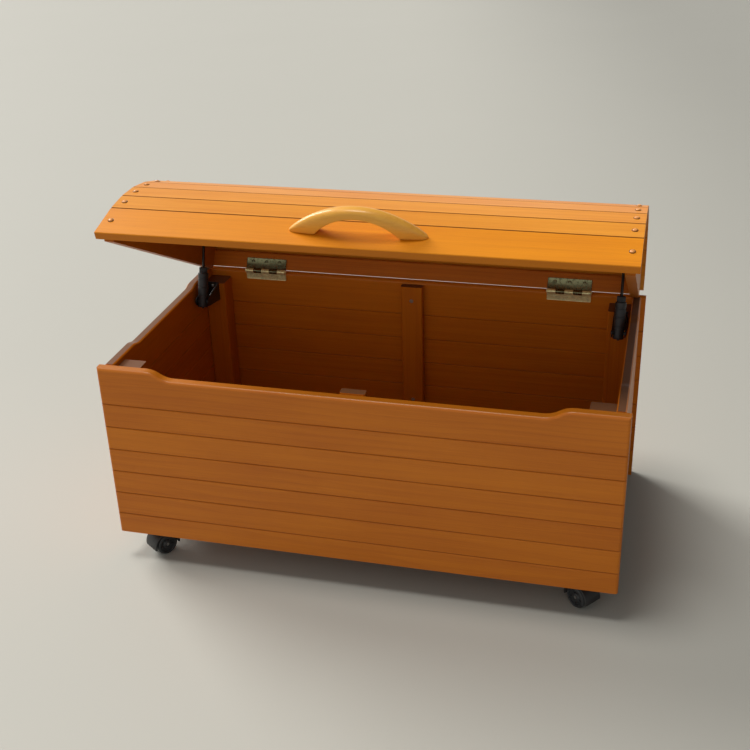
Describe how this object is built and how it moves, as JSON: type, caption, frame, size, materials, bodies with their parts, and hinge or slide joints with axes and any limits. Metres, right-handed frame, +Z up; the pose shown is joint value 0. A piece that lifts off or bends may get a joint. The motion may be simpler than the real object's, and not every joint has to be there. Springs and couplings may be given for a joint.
{
  "type": "toy box",
  "caption": "Pine toy box with a domed slatted lid on sliding friction stays, brass butt hinges, a turned-up bow handle and swivel casters under its front corners.",
  "frame": {"origin": "on the floor, at the middle of the bottom edge of the back panel", "axes": "+X to the right seen from the front, +Y towards the back, +Z up"},
  "size_m": [0.838, 0.4828, 0.633],
  "materials": {
    "pine": "satin varnish, honey",
    "plug_wood": "satin varnish",
    "brass": "plated, slightly dulled",
    "steel": "zinc plated",
    "dark_steel": "black, semi-gloss",
    "black_plastic": "moulded, matt"
  },
  "bodies": {
    "chest": {"front_panel": "pine", "back_panel": "pine", "left_side_panel": "pine", "right_side_panel": "pine", "bottom_panel": "pine", "front_left_post": "pine", "front_right_post": "pine", "rear_left_post": "pine", "rear_right_post": "pine", "front_batten": "pine", "back_batten": "pine", "front_cleat": "pine", "back_cleat": "pine", "left_cleat": "pine", "right_cleat": "pine", "frame_screws": "steel", "hinge_pins": "brass", "box_hinge_screws": "brass", "left_hinge_box_leaf": "brass", "right_hinge_box_leaf": "brass", "left_stay_bracket": "dark_steel", "right_stay_bracket": "dark_steel", "stay_bracket_screws": "steel", "left_caster_socket": "steel", "right_caster_socket": "steel"},
    "lid": {"lid_front_slat": "pine", "lid_slat_02": "pine", "lid_slat_03": "pine", "lid_slat_04": "pine", "lid_slat_05": "pine", "lid_slat_06": "pine", "lid_slat_07": "pine", "lid_slat_08": "pine", "lid_slat_09": "pine", "lid_slat_10": "pine", "lid_slat_11": "pine", "lid_slat_12": "pine", "lid_back_slat": "pine", "lid_left_end_board": "pine", "lid_right_end_board": "pine", "lid_hinge_rail": "pine", "lid_handle": "pine", "handle_screws": "steel", "slat_plugs": "plug_wood", "left_hinge_lid_leaf": "brass", "right_hinge_lid_leaf": "brass", "lid_hinge_screws": "brass", "left_stay_stud": "steel", "right_stay_stud": "steel"},
    "left_stay_head": {"left_stay_head": "black_plastic"},
    "right_stay_head": {"right_stay_head": "black_plastic"},
    "left_stay_rod": {"left_stay_rod": "dark_steel"},
    "right_stay_rod": {"right_stay_rod": "dark_steel"},
    "left_caster": {"left_caster_housing": "black_plastic", "left_caster_axle": "steel"},
    "right_caster": {"right_caster_housing": "black_plastic", "right_caster_axle": "steel"},
    "left_wheels": {"left_caster_wheels": "black_plastic"},
    "right_wheels": {"right_caster_wheels": "black_plastic"}
  },
  "joints": [
    {"name": "lid_hinge", "type": "hinge", "parent": "chest", "child": "lid", "pos_m": [0, -0.0115, 0.36785], "axis": [-1, 0, 0], "range_deg": [-27.1, 32.9]},
    {"name": "left_stay_head_pivot", "type": "hinge", "parent": "chest", "child": "left_stay_head", "pos_m": [-0.3795, -0.0995, 0.33565], "axis": [-1, 0, 0], "range_deg": [-13.7, 16.6]},
    {"name": "left_stay_rod_pivot", "type": "hinge", "parent": "lid", "child": "left_stay_rod", "pos_m": [-0.3795, -0.0688, 0.44199], "axis": [-1, 0, 0], "range_deg": [-16.6, 13.7]},
    {"name": "right_stay_head_pivot", "type": "hinge", "parent": "chest", "child": "right_stay_head", "pos_m": [0.3795, -0.0995, 0.33565], "axis": [-1, 0, 0], "range_deg": [-13.7, 16.6]},
    {"name": "right_stay_rod_pivot", "type": "hinge", "parent": "lid", "child": "right_stay_rod", "pos_m": [0.3795, -0.0688, 0.44199], "axis": [-1, 0, 0], "range_deg": [-16.6, 13.7]},
    {"name": "left_caster_swivel", "type": "hinge", "parent": "chest", "child": "left_caster", "pos_m": [-0.35, -0.403, 0.05], "axis": [0, 0, 1], "continuous": true},
    {"name": "left_wheel_spin", "type": "hinge", "parent": "left_caster", "child": "left_wheels", "pos_m": [-0.3594, -0.41594, 0.019], "axis": [0.809, -0.5878, 0], "continuous": true},
    {"name": "right_caster_swivel", "type": "hinge", "parent": "chest", "child": "right_caster", "pos_m": [0.35, -0.403, 0.05], "axis": [0, 0, 1], "continuous": true},
    {"name": "right_wheel_spin", "type": "hinge", "parent": "right_caster", "child": "right_wheels", "pos_m": [0.36261, -0.41285, 0.019], "axis": [0.6157, 0.788, 0], "continuous": true}
  ],
  "couplings": [
    {"joint": "left_stay_head_pivot", "follows": "lid_hinge", "ratio": 0.5},
    {"joint": "left_stay_rod_pivot", "follows": "lid_hinge", "ratio": -0.5},
    {"joint": "right_stay_head_pivot", "follows": "lid_hinge", "ratio": 0.5},
    {"joint": "right_stay_rod_pivot", "follows": "lid_hinge", "ratio": -0.5}
  ]
}
